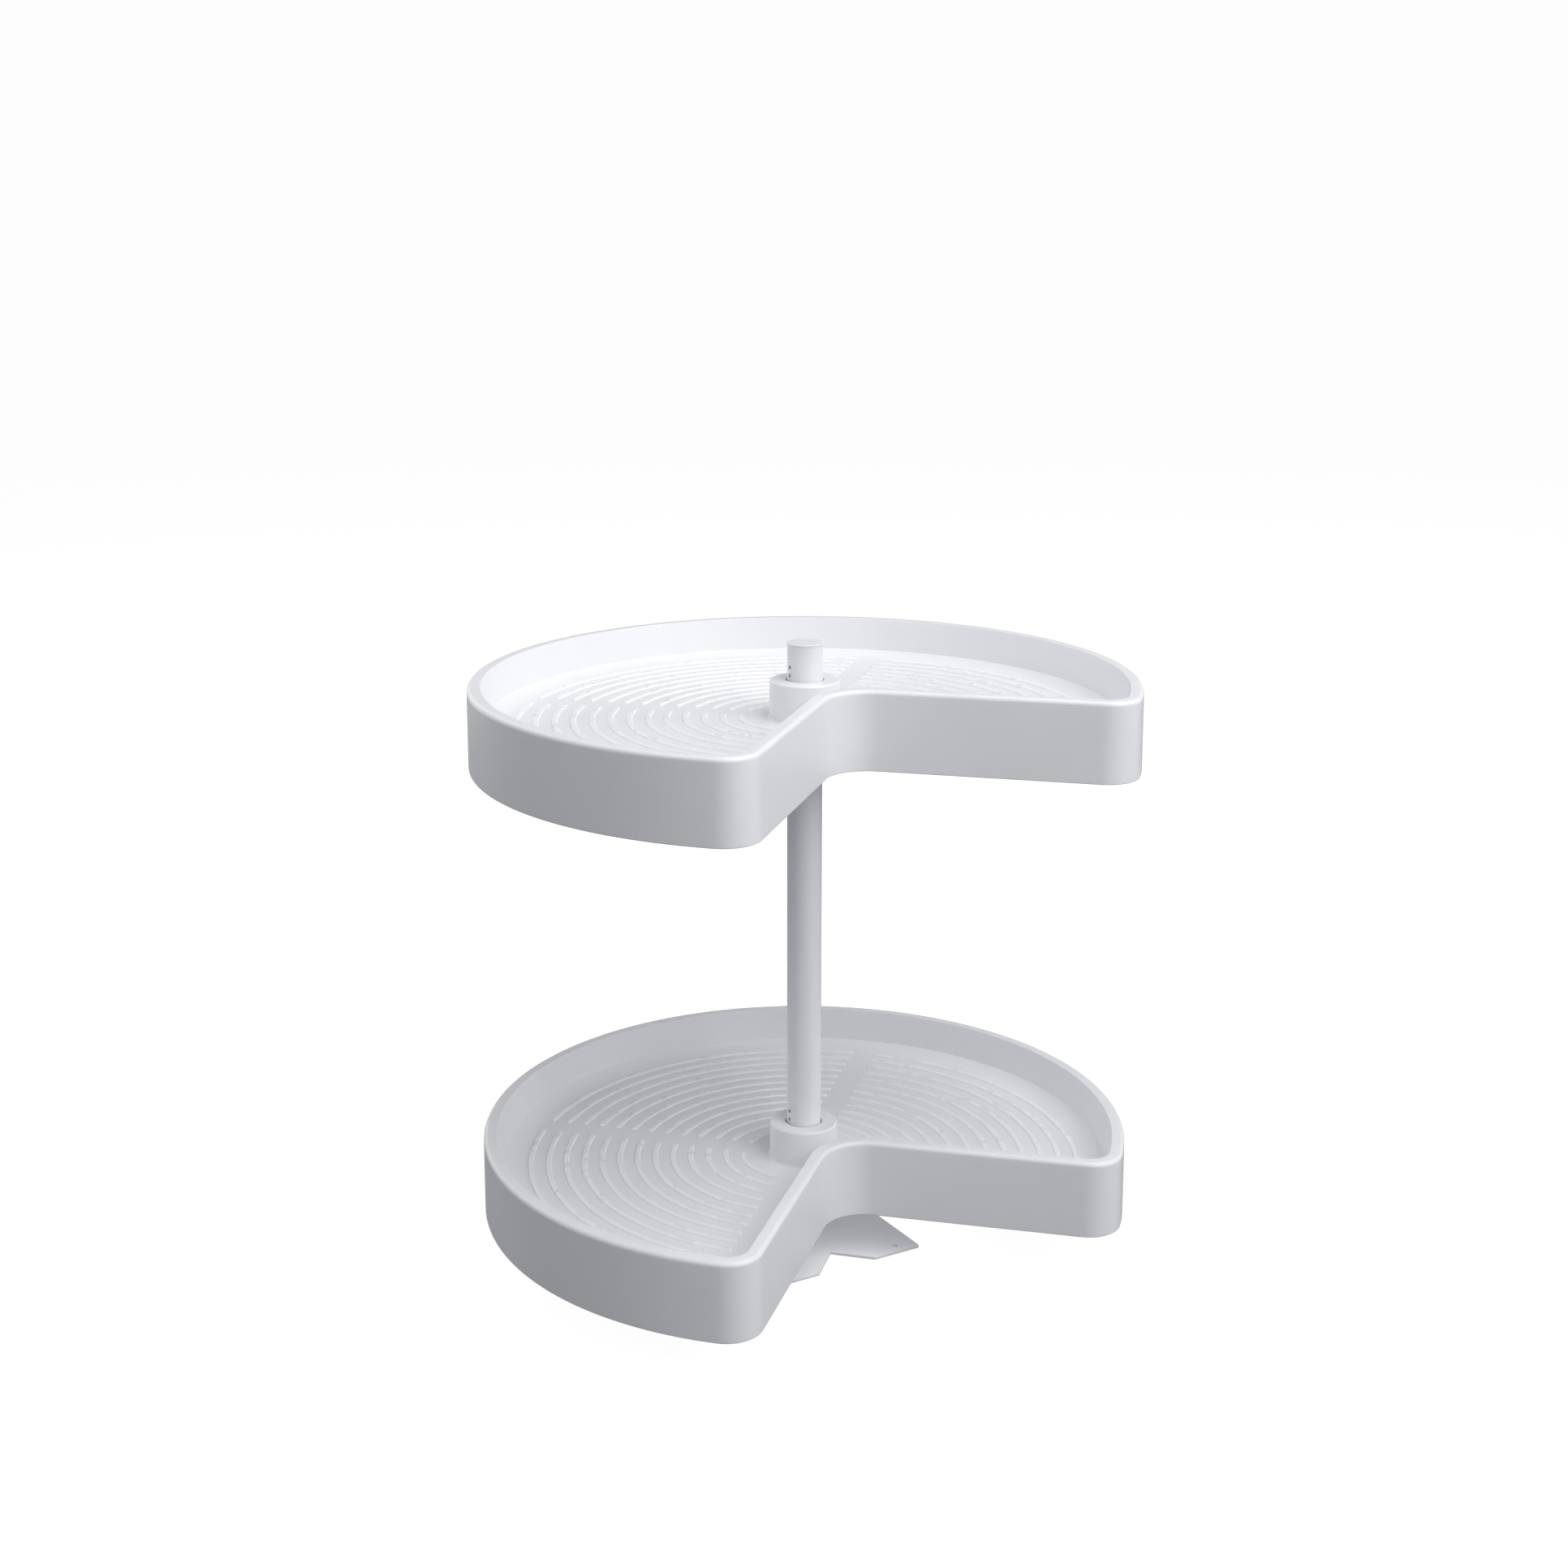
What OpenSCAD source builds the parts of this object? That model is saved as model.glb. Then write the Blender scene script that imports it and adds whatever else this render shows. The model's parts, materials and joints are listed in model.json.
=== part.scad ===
// Two-tier corner turntable: two three-quarter-round trays that turn on a fixed post.
// Millimetres. The origin is on the post's axis at the underside of the base plate. +Z is up, and the
// trays' notch opens towards -Y.

/* [Trays] */
// Diameter of a tray across the foot of its skirt
tray_d = 610; // [590:1:620]
// Height of a tray from the skirt's foot to the rim's top
tray_h = 73.7; // [68:0.1:78]
// Depth of the flat floor below the rim's top
floor_depth = 37; // [34:0.5:40]
// Thickness of the moulded walls and floor
wall = 2.6; // [2.2:0.1:3]
// Width of the hollow rim, from the skirt's face to the inner wall's face
rim_w = 14; // [13:0.5:16]
// Outer rounding of the rim
rim_r = 4.2; // [4:0.1:5]
// Number of tray rim pitches between the two trays
tier_pitches = 54; // [48:1:58]

/* [Notch] */
// Half of the notch's opening angle
notch_half = 46.4; // [45:0.1:47]
// Distance of the notch walls from the radial lines beside them
notch_offset = 41; // [38:0.5:44]
// Outer corner radius between skirt and notch wall
corner_r = 32; // [31:0.5:34]
// Inner corner radius of the notch
notch_r = 38; // [34:0.5:44]

/* [Beads] */
// Number of raised beads on the floor
bead_count = 13; // [8:1:13]
// Radius of the innermost bead
bead_first = 58; // [56:0.5:60]
// Distance from bead to bead
bead_pitch = 16.92; // [15:0.01:17]
// Width of a bead
bead_w = 5.6; // [3:0.1:6]
// Height of a bead above the floor
bead_h = 1.4; // [0.5:0.1:1.6]
// Distance of a bead's end from the line between two sectors
bead_gap = 14; // [10:0.5:20]

/* [Post] */
// Outer diameter of the post
pole_d = 32.4; // [32.2:0.1:32.6]
// Wall thickness of the post
pole_wall = 1.5; // [1.2:0.1:2]
// Overall height from the base plate's underside to the cap's top
total_h = 586; // [582:0.5:600]
// Height of the cap's disc
cap_h = 1.4; // [1:0.1:2]
// Pitch of the cross holes
hole_pitch = 8; // [8:1:8]
// Diameter of the cross holes
hole_d = 3.6; // [3.6:0.1:4]
// Number of cross holes under each hub
hole_count = 12; // [12:1:12]
// Height of the top hole over the rim's top
hole_rise = 10.9; // [8:0.1:11]

/* [Base plate] */
// Side of the square base plate
plate_w = 162; // [158:1:170]
// Thickness of the base plate
plate_t = 3; // [2.5:0.1:4]
// Distance from the post's axis to the tip of the plate's notch
plate_notch = 50; // [46:1:60]
// Spacing of the base screw holes along X
screw_x = 120; // [110:1:126]
// Spacing of the base screw holes along Y
screw_y = 140; // [130:1:142]
// Diameter of the base screw holes
screw_d = 6; // [5:0.1:6.5]

/* [Bearings] */
// Diameter of a bearing ball
ball_d = 5; // [5:0.1:5]
// Number of balls in a bearing
ball_count = 14; // [10:1:16]
// Radius of the circle on which the balls run
ball_ring_r = 21.3; // [21:0.1:21.6]
// Thickness of a bearing race
race_t = 2.5; // [2.5:0.1:3]
// Height of a support collar
collar_h = 16; // [14:1:18]
// Outer radius of a support collar
collar_r = 24; // [23:0.5:26]
// Diameter of a collar pin
pin_d = 3.5; // [3.5:0.1:3.5]

/* [Hidden] */
$fn = 96;

plastic = "white";
paint = "gainsboro";
steel = "silver";

// Heights of the two rims' tops
lower_z = 121.5;
upper_z = lower_z + tier_pitches * hole_pitch;

// Plan of the tray. The right-hand notch wall runs along "along", and "into" points into the notch.
tray_r = tray_d / 2;
along = [sin(notch_half), -cos(notch_half)];
into = [-cos(notch_half), -sin(notch_half)];
corner_into = notch_offset - corner_r;
corner_along = sqrt(pow(tray_r - corner_r, 2) - pow(corner_into, 2));
corner_c = corner_along * along + corner_into * into;
corner_a = atan2(corner_c[1], corner_c[0]);
notch_y = (notch_offset + notch_r) / sin(notch_half);

// Straight pieces that stand for an arc of the outline, and steps that stand for a rounding
half_steps = 60;
side_steps = 14;
corner_steps = 10;
rim_steps = 3;
round_steps = 4;

bead_side = 0.8;
rim_ease = 0.4;

// Hub
hub_r = 32.6;
hub_top = -1.5;
hub_round = 2.4;
hub_flare = 2.5;
hub_shell = 2.8;
hub_bore_r = 17.2;
seat_r = 18.2;
sleeve_r = 21;
seat_top = -14;
web_t = 2.2;
rib_depth = 10;
rib_rings = [120, 205];

// Heights of the bearing's stack, counted from the rim's top
pin_z = hole_rise - 10 * hole_pitch;
collar_top = pin_z + collar_h / 2;
groove_r = 2.9;
groove_depth = 0.6;
ball_play = 0.1;
ball_rise = ball_d / 2 - groove_depth + ball_play;
fixed_face = collar_top + race_t;
ball_z = fixed_face + ball_rise;
turning_face = ball_z + ball_rise;
flange_z = turning_face + race_t;
flange_t = 2;
sleeve_z = flange_z + flange_t;
race_r = 25;
race_bore_r = 17.2;
running_gap = 0.08;

pole_r = pole_d / 2;
pole_bore_r = pole_r - pole_wall;
plug_top = 38;
foot_pin_z = lower_z + pin_z - 4 * hole_pitch;
foot_screw_ring = 8.6;
foot_screw_r = 2.4;
foot_head_r = 4.6;
foot_head_h = 2.2;
foot_screw_top = 22;

// Points of an arc, from angle a0 to angle a1. The last "skip" points are left to what follows.
function arc(cx, cy, r, a0, a1, steps, skip = 0) =
    [for (i = [0:steps - skip]) let (a = a0 + (a1 - a0) * i / steps) [cx + r * cos(a), cy + r * sin(a)]];

// Outline of the tray, moved in from the skirt by "inset"
function tray_points(inset) = concat(
    arc(corner_c[0], corner_c[1], corner_r - inset, notch_half - 180, corner_a, corner_steps, 1),
    arc(0, 0, tray_r - inset, corner_a, 0, side_steps, 1),
    arc(0, 0, tray_r - inset, 0, 180, half_steps, 1),
    arc(0, 0, tray_r - inset, 180, 180 - corner_a, side_steps, 1),
    arc(-corner_c[0], corner_c[1], corner_r - inset, 180 - corner_a, 360 - notch_half, corner_steps),
    arc(0, -notch_y, notch_r + inset, 180 - notch_half, notch_half, corner_steps));

// Solid with the tray's outline
module block(inset, z0, z1) {
    translate([0, 0, z0]) linear_extrude(z1 - z0) polygon(tray_points(inset));
}

// Skirt, hollow rim, inner wall and floor. The rim's edges step in, in place of a rounding.
module tray_body() {
    floor_z = -floor_depth - wall;
    difference() {
        union() {
            block(0, -tray_h, -rim_r);
            for (i = [1:rim_steps]) block(rim_inset(rim_r, i), -rim_r - 0.1, step_z(i));
        }
        block(wall, -tray_h - 1, floor_z);
        difference() {
            block(wall, floor_z - 1, -rim_r - wall / 2);
            block(rim_w - wall, floor_z - 2, 1);
        }
        block(rim_w, -floor_depth, 1);
        block(rim_w - rim_ease, -rim_ease, 1);
    }
}

// Height of step i of the rim, and how far that step is set in
function step_z(i) = -rim_r * (1 - sin(90 * i / rim_steps));
function rim_inset(r, i) = r * (1 - cos(90 * (i - 0.5) / rim_steps));

// One bead as an arc that is centred on the angle "mid"
module bead(r, mid) {
    half = 45 - asin(bead_gap / r);
    rotate([0, 0, mid - half]) rotate_extrude(angle = 2 * half)
        translate([r, -floor_depth]) polygon([[-bead_w / 2, -0.5], [-bead_w / 2, 0], [-bead_w / 2 + bead_side, bead_h],
            [bead_w / 2 - bead_side, bead_h], [bead_w / 2, 0], [bead_w / 2, -0.5]]);
}

// Hub, with an outer shell, an inner sleeve and webs between them
module hub() {
    in_r = hub_r - hub_shell;
    rotate_extrude() difference() {
        polygon(concat(
            [[hub_bore_r, seat_top], [hub_bore_r, hub_top - 1], [hub_bore_r + 1, hub_top]],
            arc(hub_r - hub_round - 0.4, hub_top - hub_round, hub_round, 90, 0, round_steps),
            arc(hub_r + hub_flare, -floor_depth - 0.3 + hub_flare, hub_flare, 180, 270, round_steps),
            [[hub_r + hub_flare, -floor_depth - wall / 2], [hub_r, -floor_depth - wall - rib_depth / 2],
            [hub_r, sleeve_z + 1], [seat_r, sleeve_z + 1], [seat_r, seat_top]]));
        polygon([[sleeve_r, sleeve_z], [sleeve_r, hub_top - hub_shell - 2], [sleeve_r + 1, hub_top - hub_shell],
            [in_r - 3, hub_top - hub_shell], [in_r - 0.4, hub_top - hub_shell - 3], [in_r, sleeve_z]]);
    }
    rotate_extrude() translate([seat_r, sleeve_z]) square([sleeve_r - seat_r, 2]);
    for (i = [0:5]) rotate([0, 0, 60 * i + 30])
        translate([sleeve_r - 0.5, -web_t / 2, sleeve_z + 2])
            cube([in_r - sleeve_r + 1, web_t, hub_top - hub_shell - sleeve_z - 3]);
}

// Stiffening ribs under the floor: spokes from hub to skirt, and rings
module ribs() {
    rib_top = -floor_depth - wall / 2;
    rib_z = -floor_depth - wall - rib_depth;
    skirt_in = tray_r - wall / 2;
    for (a = [-30:30:210]) rotate([0, 0, a])
        translate([hub_r - 1, -web_t / 2, rib_z]) cube([skirt_in - hub_r + 1, web_t, rib_top - rib_z]);
    for (r = rib_rings) translate([0, 0, rib_z]) rotate([0, 0, -30])
        rotate_extrude(angle = 240) translate([r - web_t / 2, 0]) square([web_t, rib_top - rib_z]);
}

// One tray with its rim's top at height 0
module tray_shape() {
    difference() {
        union() {
            tray_body();
            ribs();
            for (i = [0:bead_count - 1], mid = [0, 90, 180]) bead(bead_first + i * bead_pitch, mid);
        }
        translate([0, 0, -tray_h]) cylinder(r = hub_r - 1, h = tray_h);
    }
    hub();
}

// Guide sleeve that is pressed into the hub from below
module bush_shape() {
    rotate_extrude() polygon([[pole_r + running_gap, flange_z], [race_r - 1, flange_z],
        [race_r - 1, sleeve_z], [seat_r, sleeve_z], [seat_r, seat_top], [pole_r + running_gap, seat_top]]);
}

// Washer with a ball groove in its upper face
module race() {
    difference() {
        cylinder(r = race_r, h = race_t);
        translate([0, 0, -1]) cylinder(r = race_bore_r, h = race_t + 2);
        translate([0, 0, race_t + groove_r - groove_depth])
            rotate_extrude() translate([ball_ring_r, 0]) circle(groove_r, $fn = 48);
    }
}

// Ring that keeps the balls apart
module cage_shape() {
    cage_t = 2.2;
    pocket_r = ball_d / 2 + 0.05;
    translate([0, 0, ball_z - cage_t / 2]) difference() {
        cylinder(r = race_r - 0.5, h = cage_t);
        translate([0, 0, -1]) cylinder(r = race_bore_r + 0.5, h = cage_t + 2);
        for (i = [0:ball_count - 1]) rotate([0, 0, i * 360 / ball_count])
            translate([ball_ring_r, 0, -1]) cylinder(r = pocket_r, h = cage_t + 2, $fn = 32);
    }
}

module ball_shapes() {
    for (i = [0:ball_count - 1]) rotate([0, 0, i * 360 / ball_count])
        translate([ball_ring_r, 0, ball_z]) sphere(d = ball_d, $fn = 32);
}

// Collar that is pinned through a cross hole of the post
module collar_shape() {
    translate([0, 0, collar_top - collar_h]) difference() {
        cylinder(r = collar_r, h = collar_h);
        translate([0, 0, -1]) cylinder(r = pole_r + 0.05, h = collar_h + 2);
        translate([-collar_r - 1, 0, collar_h / 2]) rotate([0, 90, 0])
            cylinder(r = hole_d / 2, h = 2 * collar_r + 2, $fn = 32);
    }
}

// Headed pin with a groove for its clip
module pin_shape() {
    head = 2;
    tail = 5;
    groove_w = 1;
    translate([-collar_r - head, 0, pin_z]) rotate([0, 90, 0]) {
        cylinder(r = 3.4, h = head);
        difference() {
            cylinder(d = pin_d, h = head + 2 * collar_r + tail, $fn = 32);
            translate([0, 0, head + 2 * collar_r + 0.6]) rotate_extrude()
                translate([1.3, 0]) square([2, groove_w]);
        }
    }
}

// Open retaining clip in the pin's groove
module clip_shape() {
    clip_t = 0.8;
    translate([collar_r + 0.7, 0, pin_z]) rotate([0, 90, 0]) difference() {
        cylinder(r = 3.8, h = clip_t);
        translate([0, 0, -1]) cylinder(r = 1.3, h = clip_t + 2, $fn = 32);
        translate([0, -1.1, -1]) cube([5, 2.2, clip_t + 2]);
    }
}

module base_plate() color(paint) {
    half = plate_w / 2;
    side = half - plate_notch;
    difference() {
        linear_extrude(plate_t) polygon([[-half, -half], [-side, -half], [0, -plate_notch], [side, -half],
            [half, -half], [half, half], [-half, half]]);
        for (x = [-screw_x / 2, screw_x / 2], y = [-screw_y / 2, screw_y / 2])
            translate([x, y, -1]) cylinder(d = screw_d, h = plate_t + 2);
        foot_screw_places() {
            translate([0, 0, -1]) cylinder(r = foot_screw_r, h = plate_t + 2, $fn = 32);
            translate([0, 0, -0.01]) cylinder(r1 = foot_head_r + 0.21, r2 = foot_screw_r, h = foot_head_h + 0.21);
        }
    }
}

// Puts its children at each of the three screws that hold the foot plug
module foot_screw_places() {
    for (a = [90, 210, 330]) rotate([0, 0, a]) translate([foot_screw_ring, 0, 0]) children();
}

// Steel plug in the post's foot
module foot_plug() color(steel) {
    difference() {
        translate([0, 0, plate_t]) cylinder(r = pole_bore_r, h = plug_top - plate_t);
        foot_screw_places() translate([0, 0, plate_t - 1]) cylinder(r = foot_screw_r, h = foot_screw_top, $fn = 32);
        translate([-pole_r, 0, foot_pin_z]) rotate([0, 90, 0]) cylinder(d = hole_d, h = pole_d, $fn = 32);
    }
}

// Countersunk screws, from the plate's underside into the plug
module foot_screws() color(steel) {
    foot_screw_places() {
        translate([0, 0, 0.2]) cylinder(r1 = foot_head_r, r2 = foot_screw_r, h = foot_head_h);
        translate([0, 0, 0.2]) cylinder(r = foot_screw_r, h = foot_screw_top - 3, $fn = 32);
    }
}

// Spring pin through the post's foot and the plug
module foot_pin() color(steel) {
    half = pole_r - 0.1;
    translate([-half, 0, foot_pin_z]) rotate([0, 90, 0]) difference() {
        cylinder(d = hole_d, h = 2 * half, $fn = 32);
        translate([0, 0, -1]) cylinder(d = hole_d - 1.4, h = 2 * half + 2, $fn = 32);
    }
}

// One cross hole through both sides of the post
module cross_hole(z) {
    translate([-pole_r - 1, 0, z]) rotate([0, 90, 0]) cylinder(d = hole_d, h = pole_d + 2, $fn = 32);
}

module pole() color(paint) {
    difference() {
        translate([0, 0, plate_t]) cylinder(r = pole_r, h = total_h - cap_h - plate_t);
        translate([0, 0, plate_t - 1]) cylinder(r = pole_bore_r, h = total_h);
        for (rim_z = [lower_z, upper_z], i = [0:hole_count - 1]) cross_hole(rim_z + hole_rise - i * hole_pitch);
        cross_hole(foot_pin_z);
    }
}

// Push-in cap that closes the post
module pole_cap() color(plastic) {
    plug_h = 12;
    cap_r = pole_r + 0.6;
    rotate_extrude() polygon([[0, total_h], [cap_r - 0.5, total_h], [cap_r, total_h - 0.5],
        [cap_r, total_h - cap_h], [pole_bore_r, total_h - cap_h], [pole_bore_r, total_h - plug_h],
        [pole_bore_r - 1.6, total_h - plug_h], [pole_bore_r - 1.6, total_h - cap_h - 0.6], [0, total_h - cap_h - 0.6]]);
}

// The race that lies on the collar
module fixed_shape() {
    translate([0, 0, collar_top]) race();
}

// The race under the bush, which turns with the tray
module turning_shape() {
    translate([0, 0, flange_z]) mirror([0, 0, 1]) race();
}

// Raises its children to a rim's height
module lift(z) {
    translate([0, 0, z]) children();
}

// The same nine sub-parts at the lower and at the upper tray
module lower_support_collar() color(paint) lift(lower_z) collar_shape();
module lower_collar_pin() color(steel) lift(lower_z) pin_shape();
module lower_pin_clip() color(steel) lift(lower_z) clip_shape();
module lower_fixed_race() color(steel) lift(lower_z) fixed_shape();
module lower_ball_cage() color(plastic) lift(lower_z) cage_shape();
module lower_balls() color(steel) lift(lower_z) ball_shapes();
module lower_turning_race() color(steel) lift(lower_z) turning_shape();
module lower_hub_bush() color(plastic) lift(lower_z) bush_shape();
module lower_tray() color(plastic) lift(lower_z) tray_shape();
module upper_support_collar() color(paint) lift(upper_z) collar_shape();
module upper_collar_pin() color(steel) lift(upper_z) pin_shape();
module upper_pin_clip() color(steel) lift(upper_z) clip_shape();
module upper_fixed_race() color(steel) lift(upper_z) fixed_shape();
module upper_ball_cage() color(plastic) lift(upper_z) cage_shape();
module upper_balls() color(steel) lift(upper_z) ball_shapes();
module upper_turning_race() color(steel) lift(upper_z) turning_shape();
module upper_hub_bush() color(plastic) lift(upper_z) bush_shape();
module upper_tray() color(plastic) lift(upper_z) tray_shape();

base_plate();
foot_plug();
foot_screws();
foot_pin();
pole();
pole_cap();
lower_support_collar();
lower_collar_pin();
lower_pin_clip();
lower_fixed_race();
lower_ball_cage();
lower_balls();
lower_turning_race();
lower_hub_bush();
lower_tray();
upper_support_collar();
upper_collar_pin();
upper_pin_clip();
upper_fixed_race();
upper_ball_cage();
upper_balls();
upper_turning_race();
upper_hub_bush();
upper_tray();
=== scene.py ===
"""Looks of a two-tier corner turntable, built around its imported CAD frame. The frame is in metres; shapes are
worked out here in millimetres, in the frame's axes, and scaled when their mesh is made."""

import json
import math

import bmesh
import bpy
import numpy as np
from mathutils.geometry import delaunay_2d_cdt
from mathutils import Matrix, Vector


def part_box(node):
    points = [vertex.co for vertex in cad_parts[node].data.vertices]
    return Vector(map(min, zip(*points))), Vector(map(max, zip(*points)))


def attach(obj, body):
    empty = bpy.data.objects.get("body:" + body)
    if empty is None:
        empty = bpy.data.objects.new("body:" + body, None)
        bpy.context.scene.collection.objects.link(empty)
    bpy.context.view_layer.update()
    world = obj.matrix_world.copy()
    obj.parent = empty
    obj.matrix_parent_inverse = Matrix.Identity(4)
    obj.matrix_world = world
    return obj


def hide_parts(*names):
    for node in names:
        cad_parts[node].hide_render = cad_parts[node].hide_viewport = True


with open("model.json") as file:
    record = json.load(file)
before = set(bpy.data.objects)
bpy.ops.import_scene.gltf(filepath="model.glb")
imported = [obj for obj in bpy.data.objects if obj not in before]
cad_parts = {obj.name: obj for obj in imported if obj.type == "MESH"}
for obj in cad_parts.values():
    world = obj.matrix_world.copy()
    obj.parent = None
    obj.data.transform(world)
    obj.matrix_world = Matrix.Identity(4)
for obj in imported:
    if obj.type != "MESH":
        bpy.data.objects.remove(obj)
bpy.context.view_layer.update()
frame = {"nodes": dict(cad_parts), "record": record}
MM = 0.001


def cad_box(node):
    """Lowest and highest corner of a CAD node, in millimetres."""
    low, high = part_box(node)
    return np.array(low) / MM, np.array(high) / MM


# ---------------------------------------------------------------- sizes
TRAY_LOW, TRAY_HIGH = cad_box("lower_tray")
RIM_Z = {tier: cad_box(tier + "_tray")[1][2] for tier in ("lower", "upper")}
TRAY_R = (TRAY_HIGH[0] - TRAY_LOW[0]) / 2
TRAY_H = TRAY_HIGH[2] - TRAY_LOW[2]
# Heights in a tray are counted from its rim's top. Depths are counted inwards from the skirt's foot.
FLOOR_Z = -37.0
WALL = 2.6
NOTCH_HALF = math.radians(46.4)
NOTCH_OFFSET = 41.0
CORNER_R = 32.0
NOTCH_R = 38.0
DRAFT = 0.9
RIM_W = 13.0
RIM_R = 4.2
RIM_INNER_R = 0.9
RIM_FLAT = 2.2
FOOT_R = 1.0
FOOT_INNER_R = 0.6
HOLLOW_R = 3.2
HOLLOW_INNER_R = 2.4
CREASE_D = 19.0
CREASE_W = 1.2
DISH_IN = 264.0
DISH_W = 22.0
DISH_H = 6.0
BEAD_COUNT = 13
BEAD_FIRST = 58.0
BEAD_PITCH = 16.92
# Half of a bead's section from foot to crest, as (distance from its centre line, height)
BEAD_SECTION = (
    (2.8, 0.0), (2.68, 0.08), (2.58, 0.4), (2.48, 0.8), (2.3, 1.18),
    (2.0, 1.48), (1.6, 1.67), (1.1, 1.75), (0.0, 1.75),
)
BEAD_GAP = 14.0
SECTORS = (0, 90, 180)
HUB_R = 32.6
HUB_TOP = -1.5
HUB_WALL = 2.8
HUB_ROUND = 2.4
HUB_FLARE = 2.5
HUB_FOOT_R = 1.6
HUB_BORE_R = 17.2
SEAT_R = 18.2
SEAT_Z = -14.0
SLEEVE_R = 21.0
SLEEVE_Z = -50.1
RIB_W = 2.2
RIB_DEPTH = 10
RIB_RINGS = (120, 205)
PLATE_TIP = 50.0
PLATE_EASE = 0.35
SCREW_X, SCREW_Y, SCREW_R = 60, 70, 3.0
FOOT_SCREW_RING, FOOT_SCREW_R, FOOT_HEAD_R = 8.6, 2.4, 4.81
POST_WALL = 1.5
HOLE_R = 1.8
HOLE_PITCH = 8
HOLE_RISE = 10.9
HOLE_ROWS = 12
COLLAR_BORE_R = 16.25
SHARP_DEG = 34


# ---------------------------------------------------------------- mesh helpers
class Build:
    """Collects points in millimetres and faces, and turns them into one clean mesh object."""

    def __init__(self):
        self.points = []
        self.faces = []
        self.flat = []

    def add(self, points):
        start = len(self.points)
        self.points += [tuple(map(float, p)) for p in points]
        return list(range(start, len(self.points)))

    def face(self, corners, flat=False):
        self.faces.append(tuple(corners))
        self.flat.append(flat)

    def strip(self, a, b, closed=True):
        """Quads between two rows of points."""
        n = len(a)
        for i in range(n if closed else n - 1):
            j = (i + 1) % n
            self.face((a[i], a[j], b[j], b[i]))

    def rows(self, rows, closed=True):
        for a, b in zip(rows, rows[1:]):
            self.strip(a, b, closed)

    def cap(self, loops):
        """Fills the flat region between closed loops with Delaunay triangles. The first loop is the rim."""
        ids = [i for loop in loops for i in loop]
        flat = [self.points[i][:2] for i in ids]
        edges, start = [], 0
        for loop in loops:
            n = len(loop)
            edges += [(start + i, start + (i + 1) % n) for i in range(n)]
            start += n
        verts, _, tris, orig, _, _ = delaunay_2d_cdt(flat, edges, [], 0, 1e-6)
        pos = np.array([tuple(v) for v in verts])
        source = [ids[o[0]] if o else None for o in orig]
        starts = np.cumsum([0] + [len(loop) for loop in loops])
        rings = [np.array(flat[a : a + len(loop)]) for a, loop in zip(starts, loops)]
        tri = np.array(tris)
        centre = pos[tri].mean(axis=1)
        inside = in_ring(centre, rings[0])
        for ring in rings[1:]:
            near = np.all((centre > ring.min(0)) & (centre < ring.max(0)), axis=1)
            inside[near] &= ~in_ring(centre[near], ring)
        for t in tri[inside]:
            self.face((source[i] for i in t), flat=True)

    def mesh(self, name, merge=2e-4, sharp=SHARP_DEG):
        data = bpy.data.meshes.new(name)
        bm = bmesh.new()
        verts = [bm.verts.new((x * MM, y * MM, z * MM)) for x, y, z in self.points]
        for face, flat in zip(self.faces, self.flat):
            if len(set(face)) >= 3:
                try:
                    bm.faces.new([verts[i] for i in dict.fromkeys(face)]).smooth = not flat
                except ValueError:
                    pass
        bmesh.ops.remove_doubles(bm, verts=bm.verts, dist=merge * MM)
        bmesh.ops.dissolve_degenerate(bm, dist=merge * MM, edges=bm.edges)
        loose = [v for v in bm.verts if not v.link_faces]
        bmesh.ops.delete(bm, geom=loose, context="VERTS")
        bmesh.ops.recalc_face_normals(bm, faces=bm.faces)
        bm.to_mesh(data)
        bm.free()
        data.set_sharp_from_angle(angle=math.radians(sharp))
        return data


def in_ring(points, ring):
    """Which points lie inside a closed ring, by even-odd crossings."""
    x, y = points[:, 0, None], points[:, 1, None]
    ax, ay = ring[:, 0], ring[:, 1]
    bx, by = np.roll(ax, -1), np.roll(ay, -1)
    spans = (ay > y) != (by > y)
    with np.errstate(divide="ignore", invalid="ignore"):
        at = ax + (y - ay) * (bx - ax) / (by - ay)
    return (np.sum(spans & (x < at), axis=1) % 2) == 1


def arc(cx, cy, r, a0, a1, steps):
    """Points of an arc between two angles in radians, both ends included."""
    return [(cx + r * math.cos(a), cy + r * math.sin(a)) for a in np.linspace(a0, a1, steps + 1)]


def section_arc(cx, cy, r, a0, a1, steps):
    """An arc between two angles in degrees."""
    return arc(cx, cy, r, math.radians(a0), math.radians(a1), steps)


def circle(r, z, n):
    return [(r * math.cos(2 * math.pi * i / n), r * math.sin(2 * math.pi * i / n), z) for i in range(n)]


def lathe(build, profile, n=96, closed=True):
    """Turns a profile of (radius, height) points about the Z axis. A closed profile gives a ring."""
    rows = []
    for r, z in profile:
        rows.append(build.add([(0, 0, z)]) * n if r < 1e-6 else build.add(circle(r, z, n)))
    build.rows(rows + rows[:1] if closed else rows)
    return rows


def place(data, name, body, material, replaces=()):
    """Makes the object of a mesh, and hangs it on its CAD body."""
    obj = bpy.data.objects.new(name, data)
    bpy.context.scene.collection.objects.link(obj)
    data.materials.clear()
    data.materials.append(material)
    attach(obj, body)
    if replaces:
        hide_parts(*replaces)
    weigh(obj)
    return obj


def weigh(obj):
    """Lets large faces keep their own shading next to small roundings."""
    mod = obj.modifiers.new("weighted_normals", "WEIGHTED_NORMAL")
    mod.mode = "FACE_AREA_WITH_ANGLE"
    mod.keep_sharp = True


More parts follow.
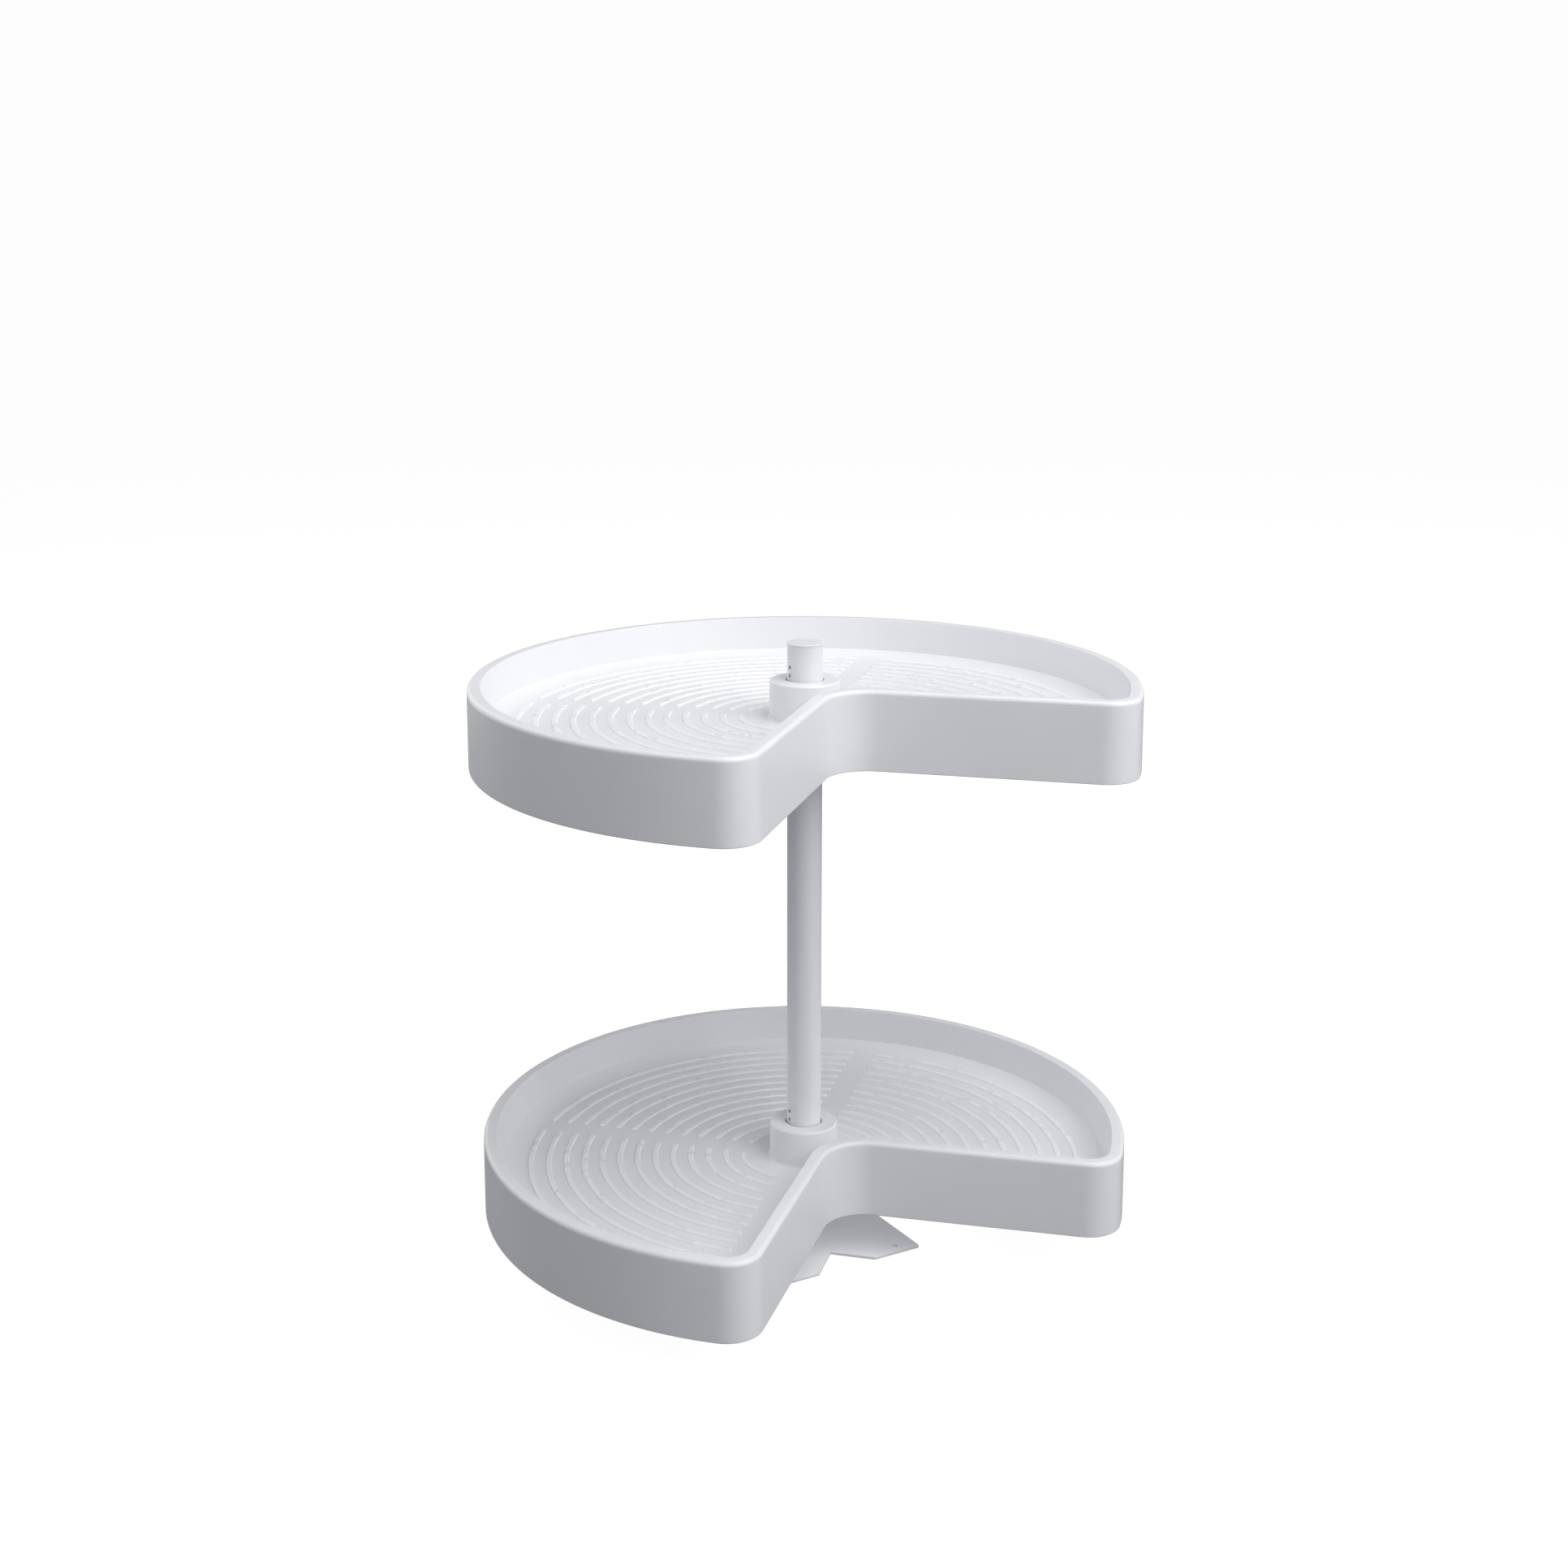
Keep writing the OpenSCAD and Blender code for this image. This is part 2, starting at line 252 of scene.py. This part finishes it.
def cut(data, tool, operation):
    """Exact boolean of two meshes. The result stands in for the first."""
    target = bpy.data.objects.new("target", data)
    other = bpy.data.objects.new("tool", tool)
    for obj in (target, other):
        bpy.context.scene.collection.objects.link(obj)
    mod = target.modifiers.new("cut", "BOOLEAN")
    mod.operation = operation
    mod.object = other
    mod.solver = "EXACT"
    mod.use_self = True
    graph = bpy.context.evaluated_depsgraph_get()
    result = bpy.data.meshes.new_from_object(target.evaluated_get(graph))
    for obj in (target, other):
        bpy.data.objects.remove(obj)
    result.set_sharp_from_angle(angle=math.radians(SHARP_DEG))
    return result


# ---------------------------------------------------------------- tray
ALONG = np.array([math.sin(NOTCH_HALF), -math.cos(NOTCH_HALF)])
INTO = np.array([-math.cos(NOTCH_HALF), -math.sin(NOTCH_HALF)])
CORNER_IN = NOTCH_OFFSET - CORNER_R
CORNER_ALONG = math.sqrt((TRAY_R - CORNER_R) ** 2 - CORNER_IN**2)
CORNER_C = CORNER_ALONG * ALONG + CORNER_IN * INTO
CORNER_A = math.atan2(CORNER_C[1], CORNER_C[0])
NOTCH_Y = (NOTCH_OFFSET + NOTCH_R) / math.sin(NOTCH_HALF)
FILLET_D = CREASE_D + CREASE_W
CROSSING = math.sqrt(DISH_IN**2 - (NOTCH_OFFSET - FILLET_D) ** 2)
WALL_IN = NOTCH_Y * math.cos(NOTCH_HALF)


def plan(d):
    """Outline of the tray at depth d from the skirt's foot: always the same points, so that rows match."""
    right = arc(*CORNER_C, CORNER_R - d, NOTCH_HALF - math.pi, CORNER_A, 20)
    skirt = arc(0, 0, TRAY_R - d, CORNER_A, math.pi - CORNER_A, 200)
    left = [(-x, y) for x, y in reversed(right)]
    inner = arc(0, -NOTCH_Y, NOTCH_R + d, math.pi - NOTCH_HALF, NOTCH_HALF, 24)
    offset = (NOTCH_OFFSET - d) * INTO
    stations = np.concatenate(
        [np.linspace(WALL_IN, CROSSING, 13), np.linspace(CROSSING, CORNER_ALONG, 6)[1:]]
    )
    wall = [tuple(s * ALONG + offset) for s in stations[1:-1]]
    wall_left = [(-x, y) for x, y in reversed(wall)]
    return right[:-1] + skirt + left[1:] + wall_left + inner + wall


def dish(r):
    """Height of the floor at radius r: flat, then rising to the wall."""
    return FLOOR_Z + DISH_H * (max(0.0, r - DISH_IN) / DISH_W) ** 2


def wall_section():
    """Section of skirt and rim as (depth, height), from the inner wall's top to the floor's underside."""
    lean = DRAFT / TRAY_H
    out = section_arc(RIM_W - RIM_INNER_R, -RIM_INNER_R, RIM_INNER_R, 0, 90, 5)
    out += [(RIM_W / 2 + RIM_FLAT, 0.0)]
    out += section_arc(RIM_R + DRAFT, -RIM_R, RIM_R, 90, 180, 9)
    for z in (-RIM_R - 1.5, -TRAY_H / 2, -TRAY_H + FOOT_R + 1.5):
        out.append((lean * (TRAY_H + z), z))
    out += section_arc(FOOT_R, -TRAY_H + FOOT_R, FOOT_R, 180, 270, 4)
    out += section_arc(WALL - FOOT_INNER_R, -TRAY_H + FOOT_INNER_R, FOOT_INNER_R, 270, 360, 3)
    top = -WALL - HOLLOW_R
    for z in (-TRAY_H + 2.0, -TRAY_H / 2, top - 1.5):
        out.append((WALL + lean * (TRAY_H + z), z))
    out += section_arc(WALL + DRAFT + HOLLOW_R, top, HOLLOW_R, 180, 90, 5)
    out += section_arc(RIM_W - WALL - HOLLOW_INNER_R, -WALL - HOLLOW_INNER_R, HOLLOW_INNER_R, 90, 0, 5)
    inner, bottom = CREASE_D - WALL, FLOOR_Z - WALL
    out += [(RIM_W - WALL + 0.2, -WALL - 4.0), (inner - 0.2, bottom + 2.0), (inner, bottom + 0.8)]
    out += [(inner + 0.25, bottom + 0.25), (inner + 0.8, bottom)]
    return out


def bead_loops(r, mid):
    """Nested outlines of one bead, a curved ridge with round ends, with the height of each."""
    half = math.radians(45) - math.asin(BEAD_GAP / r)
    a0, a1 = math.radians(mid) - half, math.radians(mid) + half
    steps = max(12, int(r * 2 * half / math.sqrt(0.24 * r)))
    loops = []
    for w, height in BEAD_SECTION:
        x0, y0 = r * math.cos(a0), r * math.sin(a0)
        x1, y1 = r * math.cos(a1), r * math.sin(a1)
        loop = arc(0, 0, r + w, a0, a1, steps)
        loop += arc(x1, y1, w, a1, a1 + math.pi, 8)[1:-1]
        loop += arc(0, 0, r - w, a1, a0, steps)
        loop += arc(x0, y0, w, a0 + math.pi, a0 + 2 * math.pi, 8)[1:-1]
        loops.append((loop, height))
    return loops


def hub_profile():
    """Section of the hub as (radius, height), from the floor's top over the hub to the floor's underside."""
    inner = HUB_R - HUB_WALL
    bottom = FLOOR_Z - WALL
    skirt = SLEEVE_Z + 1.0
    ease = 0.4
    out = section_arc(HUB_R + HUB_FLARE, FLOOR_Z + HUB_FLARE, HUB_FLARE, 270, 180, 7)
    out += [(HUB_R - 0.2, -20.0)]
    out += section_arc(HUB_R - 0.4 - HUB_ROUND, HUB_TOP - HUB_ROUND, HUB_ROUND, 0, 90, 8)
    out += [(20.5, HUB_TOP)]
    out += section_arc(HUB_BORE_R + 1.2, HUB_TOP - 1.2, 1.2, 90, 180, 5)
    out += [(HUB_BORE_R, SEAT_Z + 0.6), (HUB_BORE_R, SEAT_Z), (SEAT_R, SEAT_Z), (SEAT_R, SEAT_Z - 0.6)]
    out += [(SEAT_R, SLEEVE_Z + 0.6), (SEAT_R, SLEEVE_Z), (SLEEVE_R - ease, SLEEVE_Z)]
    # The hollow between the hub's two walls has a rounded roof
    out += [(SLEEVE_R, SLEEVE_Z + ease), (SLEEVE_R, -9.0), (21.8, -6.6), (24.0, -5.4)]
    out += [(26.0, -5.6), (28.2, -7.4), (inner, -11.0), (inner, skirt + ease), (inner + ease, skirt)]
    out += [(HUB_R - ease, skirt), (HUB_R, skirt + ease), (HUB_R, bottom - HUB_FOOT_R)]
    out += section_arc(HUB_R + HUB_FOOT_R, bottom - HUB_FOOT_R, HUB_FOOT_R, 180, 90, 4)
    return out


def tray_shell():
    """The tray without its ribs: beaded floor, dished edge, hub, hollow rim and skirt, as one closed mesh."""
    b = Build()
    outline = {}

    def row(d, heights):
        points = outline.setdefault(round(d, 5), plan(d))
        z = heights if hasattr(heights, "__len__") else [heights] * len(points)
        return b.add([(x, y, h) for (x, y), h in zip(points, z)])

    foot = plan(FILLET_D)
    foot_r = np.array([math.hypot(x, y) for x, y in foot])
    floor = np.array([dish(r) for r in foot_r])
    rows = [row(FILLET_D, floor), row(CREASE_D + 0.45, floor + 0.12), row(CREASE_D, floor + 0.5)]
    for share in (0.04, 0.5, 0.94):
        d = CREASE_D + share * (RIM_W - CREASE_D)
        rows.append(row(d, floor + 0.5 + share * (-RIM_INNER_R - floor - 0.5)))
    rows += [row(d, z) for d, z in wall_section()]
    b.rows(rows)

    # The dished edge runs along radial lines, from the wall's foot to where the floor is flat
    top, steps = [], 8
    lines = []
    for i, (x, y) in zip(rows[0], foot):
        r = math.hypot(x, y)
        if r < DISH_IN + 1e-3:
            lines.append([i] * (steps + 1))
            top.append(i)
            continue
        spread = [r + (DISH_IN - r) * k / steps for k in range(1, steps + 1)]
        line = [i] + b.add([(x * s / r, y * s / r, dish(s)) for s in spread])
        lines.append(line)
        top.append(line[-1])
    for a, c in zip(lines, lines[1:] + lines[:1]):
        for k in range(steps):
            b.face((a[k], c[k], c[k + 1], a[k + 1]))

    hub_rows = lathe(b, hub_profile(), 96, closed=False)
    holes = [hub_rows[0]]
    for k in range(BEAD_COUNT):
        for mid in SECTORS:
            rings = [
                b.add([(x, y, FLOOR_Z + h) for x, y in loop])
                for loop, h in bead_loops(BEAD_FIRST + k * BEAD_PITCH, mid)
            ]
            b.rows(rings)
            holes.append(rings[0])
    b.cap([top] + holes)
    b.cap([rows[-1], hub_rows[-1]])
    return b.mesh("tray_shell")


def slab(build, path, width, taper, z0, z1):
    """A rib along a path of (x, y) points: upright sides that lean a little, and a flat lower edge."""
    path = np.array(path)
    ahead = np.gradient(path, axis=0)
    side = np.stack([-ahead[:, 1], ahead[:, 0]], axis=1)
    side /= np.linalg.norm(side, axis=1)[:, None]
    rows = []
    for w, z in ((width / 2, z1), (width / 2 - taper, z0 + 0.5), (width / 2 - taper - 0.4, z0)):
        rows.append(build.add([(*p, z) for p in path + side * w]))
    for w, z in ((width / 2 - taper - 0.4, z0), (width / 2 - taper, z0 + 0.5), (width / 2, z1)):
        rows.append(build.add([(*p, z) for p in path - side * w]))
    build.rows(rows + rows[:1], closed=False)
    for end in (0, -1):
        build.face(row[end] for row in rows)


def tray_ribs():
    """Spokes and rings under the floor, and webs between the hub's two walls."""
    b = Build()
    top = FLOOR_Z - WALL / 2
    low = FLOOR_Z - WALL - RIB_DEPTH
    for a in range(-30, 211, 30):
        c, s = math.cos(math.radians(a)), math.sin(math.radians(a))
        slab(b, [(r * c, r * s) for r in (30.6, *RIB_RINGS, TRAY_R - 1.6)], RIB_W, 0.3, low, top)
    for r in RIB_RINGS:
        slab(b, arc(0, 0, r, math.radians(-30), math.radians(210), 120), RIB_W, 0.3, low, top)
    for a in range(30, 390, 60):
        c, s = math.cos(math.radians(a)), math.sin(math.radians(a))
        slab(b, [(r * c, r * s) for r in (20.2, 25, 30)], RIB_W, 0.2, SLEEVE_Z + 2.4, -4.6)
    return b.mesh("tray_ribs")


def tray_mesh():
    """The whole tray. Its "raised" attribute is 0 up to 0.2 mm over the floor and 1 from 0.8 mm on a bead."""
    data = cut(tray_shell(), tray_ribs(), "UNION")
    points = np.empty(len(data.vertices) * 3)
    data.vertices.foreach_get("co", points)
    x, y, z = points.reshape(-1, 3).T / MM
    height = z - FLOOR_Z
    on_floor = (np.hypot(x, y) > BEAD_FIRST - 4) & (np.hypot(x, y) < DISH_IN) & (height < 3)
    raised = np.where(on_floor, np.clip((height - 0.2) / 0.6, 0, 1), 0.0)
    data.attributes.new("raised", "FLOAT", "POINT").data.foreach_set("value", raised.astype(np.float32))
    return data


# ---------------------------------------------------------------- materials
def shader(name, color, roughness, metallic=0.0, grain=(), rough_range=0.05, tint=0.03, bead_highlight_and_polish=0.0):
    """A principled material with fine relief, a little colour variation and a roughness that varies.
    Where the mesh's "raised" attribute is 1, on the beads, the colour is lighter, a painted highlight, and the
    roughness lower, a real smoother finish."""
    mat = bpy.data.materials.new(name)
    mat.use_nodes = True
    nodes, links = mat.node_tree.nodes, mat.node_tree.links
    bsdf = nodes["Principled BSDF"]
    bsdf.inputs["Metallic"].default_value = metallic
    coords = nodes.new("ShaderNodeTexCoord")

    def noise(scale, detail):
        node = nodes.new("ShaderNodeTexNoise")
        node.inputs["Scale"].default_value = scale
        node.inputs["Detail"].default_value = detail
        links.new(coords.outputs["Object"], node.inputs["Vector"])
        return node

    def ramp(source, low, high, a, b):
        node = nodes.new("ShaderNodeMapRange")
        for key, value in (("From Min", low), ("From Max", high), ("To Min", a), ("To Max", b)):
            node.inputs[key].default_value = value
        links.new(source, node.inputs["Value"])
        return node.outputs["Result"]

    cloud = noise(9.0, 3.0)
    mix = nodes.new("ShaderNodeMix")
    mix.data_type = "RGBA"
    links.new(ramp(cloud.outputs["Fac"], 0.3, 0.7, 0, 1), mix.inputs["Factor"])
    mix.inputs["A"].default_value = (*[c * (1 - tint) for c in color], 1)
    mix.inputs["B"].default_value = (*color, 1)
    patch = noise(42.0, 4.0)
    rough = ramp(patch.outputs["Fac"], 0.3, 0.7, roughness - rough_range, roughness + rough_range)
    paint = mix.outputs["Result"]
    # Painted highlight: the beads get a lighter base colour that stands in for glints on their shoulders; their
    # lower roughness is real.
    if bead_highlight_and_polish:
        raised = nodes.new("ShaderNodeAttribute")
        raised.attribute_name = "raised"
        lighter = nodes.new("ShaderNodeMix")
        lighter.data_type = "RGBA"
        links.new(raised.outputs["Fac"], lighter.inputs["Factor"])
        links.new(paint, lighter.inputs["A"])
        lighter.inputs["B"].default_value = (*[min(1.0, c + bead_highlight_and_polish) for c in color], 1)
        paint = lighter.outputs["Result"]
        smoother = nodes.new("ShaderNodeMath")
        smoother.operation = "MULTIPLY_ADD"
        links.new(raised.outputs["Fac"], smoother.inputs[0])
        smoother.inputs[1].default_value = -1.5 * bead_highlight_and_polish
        links.new(rough, smoother.inputs[2])
        rough = smoother.outputs["Value"]
    links.new(paint, bsdf.inputs["Base Color"])
    links.new(rough, bsdf.inputs["Roughness"])
    last = None
    for scale, depth in grain:
        bump = nodes.new("ShaderNodeBump")
        bump.inputs["Strength"].default_value = 1.0
        bump.inputs["Distance"].default_value = depth
        links.new(noise(scale, 2.0).outputs["Fac"], bump.inputs["Height"])
        if last:
            links.new(last.outputs["Normal"], bump.inputs["Normal"])
        last = bump
    if last:
        links.new(last.outputs["Normal"], bsdf.inputs["Normal"])
    return mat


def make_materials():
    """One material for each of the record's slots."""
    return {
        # The plastic's beads get a painted highlight in their colour and a real lower roughness.
        "white_plastic": shader(
            "white_plastic", (0.87, 0.872, 0.892), 0.38, grain=((900, 1.4e-5),), bead_highlight_and_polish=0.055
        ),
        "white_paint": shader("white_paint", (0.84, 0.842, 0.866), 0.36, grain=((420, 2.6e-5),)),
        "zinc_steel": shader("zinc_steel", (0.60, 0.61, 0.63), 0.34, 1.0, grain=((600, 1.5e-5),), tint=0.08),
        "bearing_steel": shader(
            "bearing_steel", (0.58, 0.58, 0.59), 0.20, 1.0, grain=((800, 6e-6),), tint=0.06
        ),
        "nylon": shader("nylon", (0.78, 0.76, 0.69), 0.42, grain=((700, 1.5e-5),)),
    }


# ---------------------------------------------------------------- small pieces
def outline_offset(loop, d):
    """A closed polygon moved inwards by d, with mitred corners. It runs counterclockwise."""
    loop = np.array(loop, float)
    prev, nxt = np.roll(loop, 1, axis=0), np.roll(loop, -1, axis=0)

    def normal(v):
        n = np.stack([-v[:, 1], v[:, 0]], axis=1)
        return n / np.linalg.norm(n, axis=1)[:, None]

    a, b = normal(loop - prev), normal(nxt - loop)
    bisector = a + b
    return loop + bisector * (d / (1 + np.sum(a * b, axis=1)))[:, None]


def rounded(corners, radii, steps=5):
    """A polygon with its corners rounded, each by its own radius."""
    out = []
    n = len(corners)
    for i, (p, r) in enumerate(zip(corners, radii)):
        p = np.array(p, float)
        u = np.array(corners[i - 1], float) - p
        v = np.array(corners[(i + 1) % n], float) - p
        u, v = u / np.linalg.norm(u), v / np.linalg.norm(v)
        half = math.acos(np.clip(u @ v, -1, 1)) / 2
        start, end = p + u * r / math.tan(half), p + v * r / math.tan(half)
        centre = p + (u + v) / np.linalg.norm(u + v) * r / math.sin(half)
        a0 = math.atan2(*(start - centre)[::-1])
        a1 = math.atan2(*(end - centre)[::-1])
        a1 = a0 + (a1 - a0 + math.pi) % (2 * math.pi) - math.pi
        out += arc(*centre, r, a0, a1, steps)
    return out


def base_plate_mesh():
    """Square plate with a V notch, four screw holes and three countersunk ones."""
    high = cad_box("base_plate")[1]
    half, top, edge = high[0], high[2], PLATE_EASE
    side = half - PLATE_TIP
    corners = [(-half, -half), (-side, -half), (0, -PLATE_TIP), (side, -half)]
    corners += [(half, -half), (half, half), (-half, half)]
    b = Build()
    loop = rounded(corners, [1.2, 0.8, 0.8, 0.8, 1.2, 1.2, 1.2])
    loops = {0: loop}
    for d in (edge * 0.3, edge):
        loops[d] = [tuple(p) for p in outline_offset(loop, d)]
    levels = [(edge, 0), (edge * 0.3, edge * 0.3), (0, edge)]
    levels += [(0, top - edge), (edge * 0.3, top - edge * 0.3), (edge, top)]
    rows = [b.add([(x, y, z) for x, y in loops[d]]) for d, z in levels]
    b.rows(rows)
    top_holes, low_holes = [rows[-1]], [rows[0]]
    ease = 0.3
    plain = [(SCREW_R + ease, 0), (SCREW_R, ease), (SCREW_R, top - ease), (SCREW_R + ease, top)]
    sunk = [(FOOT_HEAD_R, 0.0), (FOOT_SCREW_R, FOOT_HEAD_R - FOOT_SCREW_R), (FOOT_SCREW_R, top)]
    holes = [(x, y, plain) for x in (-SCREW_X, SCREW_X) for y in (-SCREW_Y, SCREW_Y)]
    for a in np.radians((90, 210, 330)):
        holes.append((FOOT_SCREW_RING * math.cos(a), FOOT_SCREW_RING * math.sin(a), sunk))
    for x, y, section in holes:
        rings = [b.add([(x + px, y + py, z) for px, py, _ in circle(q, 0, 40)]) for q, z in section]
        b.rows(rings)
        low_holes.append(rings[0])
        top_holes.append(rings[-1])
    b.cap(top_holes)
    b.cap(low_holes)
    return b.mesh("base_plate", sharp=50)


def cap_mesh():
    """Push-in cap with a thin rounded lip."""
    low, high = cad_box("pole_cap")
    r, top = high[0], high[2]
    lip = 1.4
    plug = 14.7
    profile = [(0, top), (r - 3, top - 0.02)]
    profile += section_arc(r - 0.6, top - 0.6, 0.6, 90, 0, 5)
    profile += section_arc(r - 0.3, top - lip + 0.3, 0.3, 0, -90, 3)
    profile += [(plug, top - lip), (plug, low[2] + 0.6), (plug - 0.5, low[2]), (plug - 1.6, low[2])]
    profile += [(plug - 1.6, top - lip - 1.2), (plug - 2.2, top - lip - 0.6), (0, top - lip - 0.6)]
    b = Build()
    lathe(b, profile, 96, closed=False)
    return b.mesh("pole_cap")


def drills(reach, heights):
    """Round bars along X, which cut cross holes at the given heights."""
    b = Build()
    for z in heights:
        ends = [b.add([(x, py, z + pz) for py, pz, _ in circle(HOLE_R, 0, 32)]) for x in (-reach, 0, reach)]
        b.rows(ends)
        b.face(ends[0], flat=True)
        b.face(ends[-1], flat=True)
    return b.mesh("drills")


def pole_mesh():
    """Tube with softened ends and its rows of cross holes."""
    low, high = cad_box("pole")
    r, z0, z1 = high[0], low[2], high[2]
    bore = r - POST_WALL
    b = Build()
    heights = [z0 + 0.8, z1 - 0.8]
    profile = [(bore, z0), (r - 0.4, z0), (r, z0 + 0.4)] + [(r, z) for z in heights]
    profile += [(r, z1 - 0.4), (r - 0.4, z1), (bore, z1)]
    profile += [(bore, z) for z in reversed(heights)]
    lathe(b, profile, 128)
    holes = [rim + HOLE_RISE - HOLE_PITCH * i for rim in RIM_Z.values() for i in range(HOLE_ROWS)]
    holes += [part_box("foot_pin")[0].z / MM + HOLE_R]
    return cut(b.mesh("pole"), drills(r + 2, holes), "DIFFERENCE")


def collar_mesh(tier):
    """Support collar with eased edges, drilled for its pin."""
    low, high = cad_box(tier + "_support_collar")
    r, z0, z1 = high[0], low[2], high[2]
    bore = COLLAR_BORE_R
    b = Build()
    profile = [(bore, z0 + 0.5), (bore + 0.5, z0)]
    profile += section_arc(r - 0.8, z0 + 0.8, 0.8, -90, 0, 4)
    profile += [(r, z0 + 2), (r, z1 - 2)]
    profile += section_arc(r - 0.8, z1 - 0.8, 0.8, 0, 90, 4)
    profile += [(bore + 0.5, z1), (bore, z1 - 0.5)]
    lathe(b, profile, 96)
    return cut(b.mesh("collar"), drills(r + 2, [(z0 + z1) / 2]), "DIFFERENCE")


# ---------------------------------------------------------------- object
materials = make_materials()
tray = tray_mesh()
for tier in ("lower", "upper"):
    data = tray.copy()
    for v in data.vertices:
        v.co.z += RIM_Z[tier] * MM
    body = tier + "_turntable"
    place(data, tier + "_tray_moulding", body, materials["white_plastic"], [tier + "_tray"])
    paint = materials["white_paint"]
    place(collar_mesh(tier), tier + "_collar", "post", paint, [tier + "_support_collar"])
place(base_plate_mesh(), "plate", "post", materials["white_paint"], ["base_plate"])
place(pole_mesh(), "post_tube", "post", materials["white_paint"], ["pole"])
place(cap_mesh(), "post_cap", "post", materials["white_plastic"], ["pole_cap"])

slots = {entry["node"]: entry["material_slot"] for entry in frame["record"]["subparts"]}
for name, node in frame["nodes"].items():
    node.data.materials.clear()
    node.data.materials.append(materials[slots[name]])
    node.data.polygons.foreach_set("use_smooth", [True] * len(node.data.polygons))
    node.data.set_sharp_from_angle(angle=math.radians(30))


# ---------------------------------------------------------------- stage, in metres
CAMERA_PLACE = (-0.9913, -1.6588, 0.9735)
CAMERA_YAW = math.radians(-30.3)
CAMERA_DIP = math.radians(15.07)
LIGHT_AIM_Z = 0.3
LIGHT_REACH = 3.0
LIGHT_SIZE = 2.4


def make_stage():
    """A pale studio sweep: a round floor whose rim rises out of sight. It glows, so that it stays pale,
    and it neither lights nor is mirrored in the object."""
    profile = [(0.0, 0.0), (3.0, 0.0)] + arc(9, 3, 3, -math.pi / 2, 0, 24) + [(12, 14)]
    b = Build()
    lathe(b, [(r / MM, z / MM) for r, z in profile], 96, closed=False)
    mesh = b.mesh("studio_floor")
    mesh.polygons.foreach_set("use_smooth", [True] * len(mesh.polygons))
    floor = bpy.data.objects.new("studio_floor", mesh)
    bpy.context.scene.collection.objects.link(floor)
    mat = bpy.data.materials.new("studio_floor")
    mat.use_nodes = True
    bsdf = mat.node_tree.nodes["Principled BSDF"]
    bsdf.inputs["Base Color"].default_value = (0.3, 0.3, 0.3, 1)
    bsdf.inputs["Roughness"].default_value = 1.0
    bsdf.inputs["Specular IOR Level"].default_value = 0.0
    bsdf.inputs["Emission Color"].default_value = (1, 1, 1, 1)
    bsdf.inputs["Emission Strength"].default_value = 0.92
    mesh.materials.append(mat)
    floor.visible_diffuse = False
    floor.visible_glossy = False


def area_light(name, azimuth, elevation, watts):
    """A large soft square light that faces the object's middle. Azimuth counts from the camera's right."""
    light = bpy.data.lights.new(name, "AREA")
    light.shape = "SQUARE"
    light.size = LIGHT_SIZE
    light.energy = watts
    obj = bpy.data.objects.new(name, light)
    bpy.context.scene.collection.objects.link(obj)
    obj.visible_camera = False
    turn, rise = math.radians(azimuth) + CAMERA_YAW, math.radians(elevation)
    reach = LIGHT_REACH * math.cos(rise)
    height = LIGHT_AIM_Z + LIGHT_REACH * math.sin(rise)
    obj.location = (reach * math.cos(turn), reach * math.sin(turn), height)
    obj.rotation_euler = (math.pi / 2 - rise, 0, turn + math.pi / 2)
    return obj


def make_camera():
    cam = bpy.data.cameras.new("camera")
    cam.lens, cam.sensor_width = 50, 36
    cam.clip_end = 200
    obj = bpy.data.objects.new("camera", cam)
    bpy.context.scene.collection.objects.link(obj)
    obj.location = CAMERA_PLACE
    obj.rotation_euler = (math.pi / 2 - CAMERA_DIP, 0, CAMERA_YAW)
    bpy.context.scene.camera = obj


def make_lights():
    world = bpy.data.worlds.new("studio")
    world.use_nodes = True
    world.node_tree.nodes["Background"].inputs["Color"].default_value = (0.9, 0.93, 1, 1)
    world.node_tree.nodes["Background"].inputs["Strength"].default_value = 0.195
    bpy.context.scene.world = world
    area_light("key", -45, 45, 41)
    area_light("key_low", -45, 15, 16)
    area_light("side_high", 0, 70, 16)
    area_light("side_low", 0, 15, 10)
    area_light("back_low", 45, 15, 6)
    area_light("front", -90, 45, 8)
    area_light("top", 0, 90, 21)
    area_light("rim_left", 180, 15, 12)
    area_light("rim_back", 135, 15, 26)
    # Light that the floor and the tray's underside throw on the plate between them
    fill = area_light("plate_fill", 0, 90, 0.075)
    fill.data.size = 0.3
    fill.location = (0, 0, 0.045)


make_stage()
make_camera()
make_lights()
bpy.context.scene.view_settings.view_transform = "Standard"
